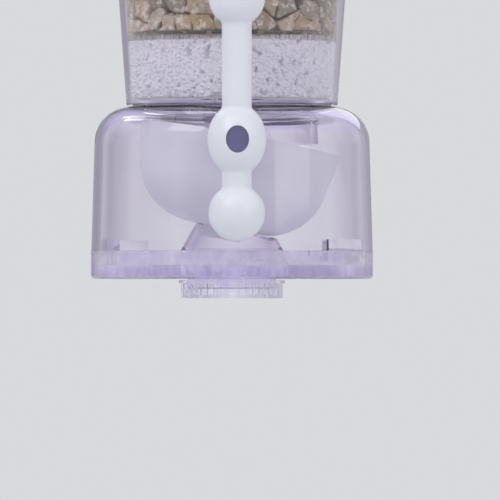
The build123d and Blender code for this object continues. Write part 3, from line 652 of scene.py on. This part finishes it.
def shaded_stone_colour(height_share, dice):
    """Colour of a stone at a share of the bed's height, with painted shade near the top."""
    tone = dice.choice(STONE_TONES)
    shade = dice.uniform(*STONE_SHADES)
    # painted shade: a random share of the dark tone that grows with the height in the bed
    top_shade = dice.uniform(*TOP_SHADE_SHARES) * height_share
    return [shade * ((1 - top_shade) * part + top_shade * shade_part) for part, shade_part in zip(tone, TOP_SHADE_TONE)]


def make_stones():
    """Angular pebbles that fill the space between the grates: each keeps to its middle's cell."""
    dice = random.Random(STONE_SEED)
    limits = jar_wall("stone_bed")
    low, _, high, _ = limits
    places = stone_places(limits, dice)
    weights = np.array([dice.uniform(*STONE_WEIGHT) for _ in places]) * STONE_PITCH**2
    fine, coarse = [unit_sphere(level) for level in STONE_LEVELS]
    parts, shaded_tones = [], []
    for index, middle in enumerate(places):
        normals, reaches = stone_faces(places, weights, index, dice)
        flat = math.hypot(middle[0], middle[1])
        outward = np.array([middle[0] / flat, middle[1] / flat, 0.0])
        wall = wall_radius(limits, middle[2]) - flat
        directions, faces = fine if wall < STONE_PITCH else coarse
        normals = np.vstack([normals, outward, (0, 0, 1), (0, 0, -1)])
        reaches = np.append(reaches, [wall, high - middle[2], middle[2] - low])
        edge = dice.uniform(*STONE_EDGE)
        share = np.maximum(directions @ normals.T / reaches, 0) ** edge
        radii = np.minimum(share.sum(axis=1) ** (-1 / edge), STONE_MOST * STONE_PITCH)
        points = directions * radii[:, None] * dice.uniform(*STONE_JOINT)
        for size, depth, seed in STONE_NOISE:
            points = roughened(points, size, depth, index * seed)
        points = points + middle
        flat_reach = np.hypot(points[:, 0], points[:, 1])
        limit = wall_radius(limits, points[:, 2]) - STONE_WALL_GAP
        points[:, :2] *= np.minimum(1, limit / np.maximum(flat_reach, TINY))[:, None]
        points[:, 2] = np.clip(points[:, 2], low, high)
        parts.append((points, faces))
        # Each stone's colour holds painted shade, darker towards the top of the bed.
        colour = shaded_stone_colour((middle[2] - low) / (high - low), dice)
        shaded_tones += [(*colour, 1.0)] * len(points)
    stones = joined("stones", parts)
    colours = stones.data.color_attributes.new("tone", "FLOAT_COLOR", "POINT")
    colours.data.foreach_set("color", np.array(shaded_tones, np.float32).ravel())
    stones.data.materials.append(stone_finish("pebble").material)
    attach(stones, "filter")
    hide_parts("stone_bed")


def pit_share(point, level):
    """How far a point is in one of the pits between granules, from 0 to 1."""
    return min(1.0, max(0.0, (noise.noise(Vector(point) / PIT_SIZE) - level) / PIT_SLOPE))


def spin(dice):
    """A random turn, as a 3 by 3 array."""
    axis = Vector((dice.gauss(0, 1), dice.gauss(0, 1), dice.gauss(0, 1))).normalized()
    return np.array(Matrix.Rotation(dice.uniform(0, FULL_TURN), 3, axis))


def make_granules(name, node, finish, pitch, sizes, angular, pit_level, seed):
    """Loose granules against the jar's wall, evenly spread and then jittered, with pits."""
    dice = random.Random(seed)
    limits = jar_wall(node)
    low, low_radius, high, high_radius = limits
    directions, faces = unit_sphere(GRANULE_LEVEL)
    parts = []
    ring = (low_radius + high_radius) / 2
    count = int(FULL_TURN * ring * (high - low) / (pitch * pitch * GRANULE_CELL))
    for index in range(count):
        size = dice.uniform(*sizes)
        level = low + (index + 0.5) / count * (high - low) + dice.uniform(*GRANULE_STRAY) * pitch
        level = min(max(level, low + size), high - size)
        angle = index * GOLDEN_ANGLE + dice.uniform(*GRANULE_STRAY) * pitch / ring
        reach = wall_radius(limits, level) - size * dice.uniform(*GRANULE_SINK)
        middle = np.array(around(reach, angle, level))
        if pit_share(middle, pit_level) > PIT_MISSING:
            continue
        stretch = np.array([dice.uniform(1 - angular, 1 + angular) for _ in range(3)])
        points = directions * stretch / stretch.max() * size
        shift = Vector((index * GRANULE_SHIFT, 0.0, seed))
        dents = [noise.noise(Vector(point) * GRANULE_DENTS + shift) for point in directions]
        points = points * (1 - GRANULE_DENT_DEPTH * np.abs(np.array(dents)))[:, None]
        parts.append((points @ spin(dice) + middle, faces))
    granules = joined(name, parts)
    granules.data.materials.append(finish.material)
    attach(granules, "filter")


def ring_faces(steps, rows, closed):
    """Faces between columns of points set round a ring, with closed columns or open ones."""
    faces = []
    for step in range(steps):
        here, there = step * rows, ((step + 1) % steps) * rows
        for row in range(rows if closed else rows - 1):
            after = (row + 1) % rows
            faces.append((here + row, there + row, there + after, here + after))
    return faces


def turned(name, profile, steps, ripple, size, pit_level=NO_PITS):
    """A closed body of revolution about Z with a rippled, pitted face, from (radius, height)."""
    points = []
    for step in range(steps):
        angle = FULL_TURN * step / steps
        for radius, height in profile:
            point = Vector(around(radius, angle, height))
            push = ripple * noise.noise(point / size) - PIT_DEPTH * pit_share(point, pit_level)
            points.append((point.x * (1 + push / radius), point.y * (1 + push / radius), point.z))
    rows = len(profile)
    faces = ring_faces(steps, rows, closed=False)
    foot, head = len(points), len(points) + 1
    points += [(0, 0, profile[0][1]), (0, 0, profile[-1][1])]
    for step in range(steps):
        here, there = step * rows, ((step + 1) % steps) * rows
        faces.append((foot, there, here))
        faces.append((head, here + rows - 1, there + rows - 1))
    return new_mesh(name, points, faces)


def make_core(name, node, finish, setback, ripple, pit_level):
    """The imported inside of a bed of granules, set back from the wall."""
    limits = jar_wall(node)
    low, high = limits[0] + FACE_GAP, limits[2] - FACE_GAP
    rows = int((high - low) / CORE_STEP)
    heights = [low + (high - low) * row / rows for row in range(rows + 1)]
    profile = [(wall_radius(limits, height) - setback, height) for height in heights]
    steps = int(FULL_TURN * limits[1] / CORE_STEP)
    core = turned(name, profile, steps, ripple, CORE_GRAIN, pit_level)
    core.data.materials.append(finish.material)
    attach(core, "filter")
    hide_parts(node)


def make_pad(name, node, finish):
    """A felt disc with a soft, rounded and slightly uneven rim."""
    limits = jar_wall(node)
    low, high = limits[0] + FACE_GAP, limits[2] - FACE_GAP
    soft = min(PAD_RIM_SHARE * (high - low), PAD_RIM)
    bends = [QUARTER_TURN * step / PAD_RIM_STEPS for step in range(PAD_RIM_STEPS + 1)]
    flat = [soft * (1 - math.cos(bend)) for bend in bends]
    steep = [soft * (1 - math.sin(bend)) for bend in bends]
    rim = [(low + rise, inset) for rise, inset in zip(flat, steep)]
    rim += [(high - drop, inset) for drop, inset in zip(steep, flat)]
    profile = [(wall_radius(limits, height) - inset - PAD_GAP, height) for height, inset in rim]
    pad = turned(name, profile, ROUND_STEPS, PAD_RIPPLE, PAD_GRAIN)
    pad.data.materials.append(finish.material)
    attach(pad, "filter")
    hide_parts(node)


def make_seal(name, node, finish):
    """A flat seal ring with soft edges, in place of the node's plain ring."""
    points, radii = node_points(node)
    inner, outer = radii.min() + FACE_GAP, radii.max() - FACE_GAP
    low, high = points[:, 2].min() + FACE_GAP, points[:, 2].max() - FACE_GAP
    edge = SEAL_EDGE_SHARE * min(outer - inner, high - low)
    corners = (
        (outer - edge, high - edge),
        (inner + edge, high - edge),
        (inner + edge, low + edge),
        (outer - edge, low + edge),
    )
    section = []
    for quarter, (reach, height) in enumerate(corners):
        for step in range(SEAL_EDGE_STEPS + 1):
            angle = QUARTER_TURN * (quarter + step / SEAL_EDGE_STEPS)
            section.append((reach + edge * math.cos(angle), height + edge * math.sin(angle)))
    ring_points = []
    for step in range(ROUND_STEPS):
        angle = FULL_TURN * step / ROUND_STEPS
        ring_points += [around(reach, angle, height) for reach, height in section]
    seal = new_mesh(name, ring_points, ring_faces(ROUND_STEPS, len(section), closed=True))
    seal.data.materials.append(finish.material)
    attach(seal, "filter")
    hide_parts(node)


def make_thread(finish):
    """The spout thread inside the swivel nut, as one helical ridge that fades at both ends."""
    bore = frame["record"]["mounts"][0]["dims"]
    radius, length = bore["r_mm"] * MM, bore["length_mm"] * MM
    total = int(THREAD_STEPS * ((length - 2 * THREAD_MARGIN) / THREAD_PITCH))
    fade_steps = THREAD_FADE * THREAD_STEPS
    points, faces = [], []
    for step in range(total + 1):
        angle = FULL_TURN * step / THREAD_STEPS
        height = -THREAD_MARGIN - step / THREAD_STEPS * THREAD_PITCH
        fade = min(1, step / fade_steps, (total - step) / fade_steps)
        for reach, shift in THREAD_SECTION:
            ring = radius + (reach if reach > 0 else reach * fade)
            points.append(around(ring, angle, height + shift))
    sides = len(THREAD_SECTION)
    for here in range(0, total * sides, sides):
        for side in range(sides):
            a, b = here + side, here + (side + 1) % sides
            faces.append((a, b, b + sides, a + sides))
    last = total * sides
    faces += [(0, 3, 2, 1), (last, last + 1, last + 2, last + 3)]
    thread = new_mesh("nut_thread", points, faces, smooth=False)
    thread.data.materials.append(finish.material)
    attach(thread, "nut")


def make_camera():
    """The photograph's camera, aimed at the middle of the photograph's frame."""
    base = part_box("base_seal")[1].z - BASE_DEPTH
    forward = Vector((-math.sin(CAMERA_AZIMUTH), math.cos(CAMERA_AZIMUTH), 0))
    right = Vector((math.cos(CAMERA_AZIMUTH), math.sin(CAMERA_AZIMUTH), 0))
    half = PHOTO_SIDE / 2
    middle = right * (half - AXIS_PIXEL) * METRES_PER_PIXEL + Vector((0, 0, base))
    place = middle - forward * CAMERA_DISTANCE
    aim = middle + Vector((0, 0, (BASE_PIXEL - half) * METRES_PER_PIXEL))
    data = bpy.data.cameras.new("camera")
    data.sensor_width = SENSOR_WIDTH
    data.lens = SENSOR_WIDTH * CAMERA_DISTANCE / (PHOTO_SIDE * METRES_PER_PIXEL)
    data.clip_start = NEAR_CLIP
    camera = bpy.data.objects.new("camera", data)
    bpy.context.scene.collection.objects.link(camera)
    camera.location = place
    camera.rotation_euler = (aim - place).to_track_quat("-Z", "Y").to_euler()
    bpy.context.scene.camera = camera


def new_lamp(name, watts):
    """An area lamp that the camera doesn't see."""
    data = bpy.data.lights.new(name, "AREA")
    data.energy = watts
    lamp = bpy.data.objects.new(name, data)
    bpy.context.scene.collection.objects.link(lamp)
    lamp.visible_camera = False
    return lamp


def make_lamps(middle):
    """Square lamps turned to the filter's middle, which clear pieces don't refract, and strips."""
    for name, place, side, watts in LAMPS:
        lamp = new_lamp(name, watts)
        lamp.data.size = side
        lamp.location = place
        lamp.rotation_euler = (middle - Vector(place)).to_track_quat("-Z", "Y").to_euler()
        lamp.visible_transmission = False
    for name, start, end, watts in STRIPS:
        start, end = middle + Vector(start), middle + Vector(end)
        lamp = new_lamp(name, watts)
        lamp.data.shape = "RECTANGLE"
        lamp.data.size, lamp.data.size_y = (end - start).length, STRIP_WIDTH
        away = ((start + end) / 2 - middle).normalized()
        along = (end - start).normalized()
        across = away.cross(along).normalized()
        turn = Matrix((along, across, along.cross(across))).transposed()
        lamp.matrix_world = Matrix.Translation((start + end) / 2) @ turn.to_4x4()


def make_world():
    """The backdrop's colour, and a ring of soft panels for what refracts and reflects."""
    world = bpy.data.worlds.new("studio")
    bpy.context.scene.world = world
    world.use_nodes = True
    sky = Nodes(world.node_tree)
    direction = sky.new("SeparateXYZ")
    sky.link(sky.new("TexCoord").outputs["Generated"], direction.inputs[0])
    x, y, z = direction.outputs
    turn = sky.maths("ADD", sky.maths("ARCTAN2", y, x), PANEL_TURN)
    wave = sky.maths("COSINE", sky.maths("MULTIPLY", turn, float(PANEL_COUNT)))
    hump = sky.maths("MULTIPLY", sky.maths("ADD", wave, 1.0), 0.5)
    gaps = sky.mixed(sky.between(x, 0.0, 1.0, -GAP_SPREAD, GAP_SPREAD), LEFT_GAP, RIGHT_GAP)
    ring = sky.mixed(sky.maths("POWER", hump, PANEL_EDGE), gaps, BACKDROP)
    rise = sky.between(sky.maths("ABSOLUTE", z), 0.0, 1.0, *RING_FADE, smooth=True)
    studio = sky.mixed(rise, ring, CEILING)
    path = sky.new("LightPath")
    lit = sky.mixed(path.outputs["Is Diffuse Ray"], studio, AMBIENT)
    seen = sky.mixed(path.outputs["Is Camera Ray"], lit, BACKDROP)
    background = sky.new("Background")
    sky.link(seen, background.inputs["Color"])
    sky.link(background.outputs[0], sky.new("OutputWorld").inputs["Surface"])


def make_floor():
    """A pale floor that keeps the shadow near the filter and turns into the backdrop further off."""
    height = cad_box[0][2] - FLOOR_DROP
    points, faces = [(0, 0, height)], []
    for radius in FLOOR_RINGS:
        for step in range(FLOOR_STEPS):
            points.append(around(radius, FULL_TURN * step / FLOOR_STEPS, height))
    for step in range(FLOOR_STEPS):
        other = (step + 1) % FLOOR_STEPS
        faces.append((0, 1 + step, 1 + other))
        for row in range(len(FLOOR_RINGS) - 1):
            a, b = 1 + row * FLOOR_STEPS, 1 + (row + 1) * FLOOR_STEPS
            faces.append((a + step, b + step, b + other, a + other))
    floor = new_mesh("floor", points, faces, smooth=False)
    finish = Finish("floor_paint")
    grain = finish.noise(30 * MM, detail=4.0)
    finish.set(Roughness=0.9, Base_Color=finish.ramp(grain, *FLOOR_PAINT, start=0.3, end=0.7))
    flat = finish.new("Mapping")
    flat.inputs["Scale"].default_value = (1, 1, 0)
    finish.link(finish.place, flat.inputs["Vector"])
    distance = finish.new("VectorMath")
    distance.operation = "LENGTH"
    finish.link(flat.outputs["Vector"], distance.inputs[0])
    radii = (SHADOW_RADIUS, FADE_RADIUS)
    fade = finish.between(distance.outputs["Value"], 0.0, 1.0, *radii, smooth=True)
    glow = finish.new("Emission")
    finish.feed(glow.inputs["Color"], BACKDROP)
    finish.blend_over(fade, glow.outputs[0])
    floor.data.materials.append(finish.material)


def finish_clear_nodes():
    """Finishes of the clear CAD nodes, and the gel rings between them."""
    paint(clear_plastic("clear_violet", VIOLET_LOSS, 0.012 * MM), "clear_housing")
    base_plastic = clear_plastic(
        "deep_violet", BASE_LOSS, 0.05 * MM, clear=0.86, smooth=0.05, smudge=0.12, ripple=0.07 * MM
    )
    mottle_base(base_plastic)
    paint(base_plastic, "base_cap")
    paint(clear_plastic("clear_jar", PALE_LOSS, 0.01 * MM, tint=JAR_TINT), "filter_jar")
    grate_plastic = clear_plastic(
        "grate_plastic", GRATE_LOSS, 0.02 * MM, tint=GRATE_TINT, smudge=0.25
    )
    paint(grate_plastic, "middle_grate", "upper_grate")
    paint(clear_plastic("cone_plastic", PALE_LOSS, 0.03 * MM), "drain_cone")
    collar_plastic = clear_plastic(
        "collar_plastic", COLLAR_LOSS, 0.05 * MM, tint=COLLAR_TINT, clear=0.87
    )
    paint(collar_plastic, "outlet_collar", "flow_straightener")
    gel = clear_plastic(
        "clear_gel", GEL_LOSS, 0.002 * MM, tint=GEL_TINT, smooth=0.0, smudge=0.02
    )
    for name in ("jar_seal", "base_seal", "cone_seal"):
        make_seal(name.replace("seal", "ring"), name, gel)


def finish_other_nodes(metal):
    """Finishes of the milky, white, rubber and metal CAD nodes that stay in view."""
    paint(milky_plastic("milky_bowl", BOWL_WHITE, passes=0.26, roughness=0.38), "inner_bowl")
    milky_valve = milky_plastic("milky_valve", VALVE_WHITE, passes=0.65, roughness=0.25)
    paint(milky_valve, "valve_body", "valve_plug", "plug_retainer")
    paint(white_plastic("white_lever", LEVER_WHITE, roughness=0.28), "lever")
    paint(white_plastic("white_cap", CAP_WHITE, roughness=0.44), "top_cap")
    paint(white_plastic("violet_spindle", SPINDLE_VIOLET, roughness=0.30), "valve_spindle")
    silicone = rubber("clear_silicone", SILICONE, passes=0.75)
    paint(silicone, "cap_seal", "valve_seal", "spindle_seal", "outlet_washer")
    paint(rubber("black_rubber", RUBBER_BLACK), "inlet_washer", "neck_seal")
    paint(metal, "swivel_nut", "inlet_neck")
    paint(steel_mesh("steel_mesh"), "inlet_screen")


def make_media():
    """Everything that the jar holds."""
    make_stones()
    bead = granule_finish("bead", *BEAD_WHITES, depth=0.04 * MM)
    make_granules(
        "beads", "bead_bed", bead, pitch=1.12 * MM, sizes=(0.42 * MM, 0.78 * MM),
        angular=0.3, pit_level=BEAD_PITS, seed=5,
    )
    make_core(
        "bead_core", "bead_bed", bead, setback=0.50 * MM, ripple=0.20 * MM,
        pit_level=BEAD_PITS,
    )
    coal = granule_finish("carbon", *CARBON_BLACKS, depth=0.12 * MM)
    make_granules(
        "carbon_grains", "carbon_bed", coal, pitch=1.5 * MM, sizes=(0.60 * MM, 1.05 * MM),
        angular=0.4, pit_level=CARBON_PITS, seed=8,
    )
    make_core(
        "carbon_core", "carbon_bed", coal, setback=1.0 * MM, ripple=0.3 * MM,
        pit_level=CARBON_PITS,
    )
    white_felt = felt("white_felt")
    make_pad("sediment_felt", "sediment_pad", white_felt)
    make_pad("lower_felt", "lower_pad", white_felt)


bpy.context.scene.view_settings.view_transform = "Standard"
bpy.context.scene.cycles.max_bounces = MOST_BOUNCES
bpy.context.scene.cycles.transmission_bounces = CLEAR_BOUNCES
bpy.context.scene.cycles.transparent_max_bounces = MOST_BOUNCES
make_camera()
make_world()
make_floor()
make_lamps(Vector((0, 0, (cad_box[0][2] + cad_box[1][2]) / 2)))
plating = plated_metal("plated_brass")
finish_clear_nodes()
finish_other_nodes(plating)
make_media()
make_thread(plating)
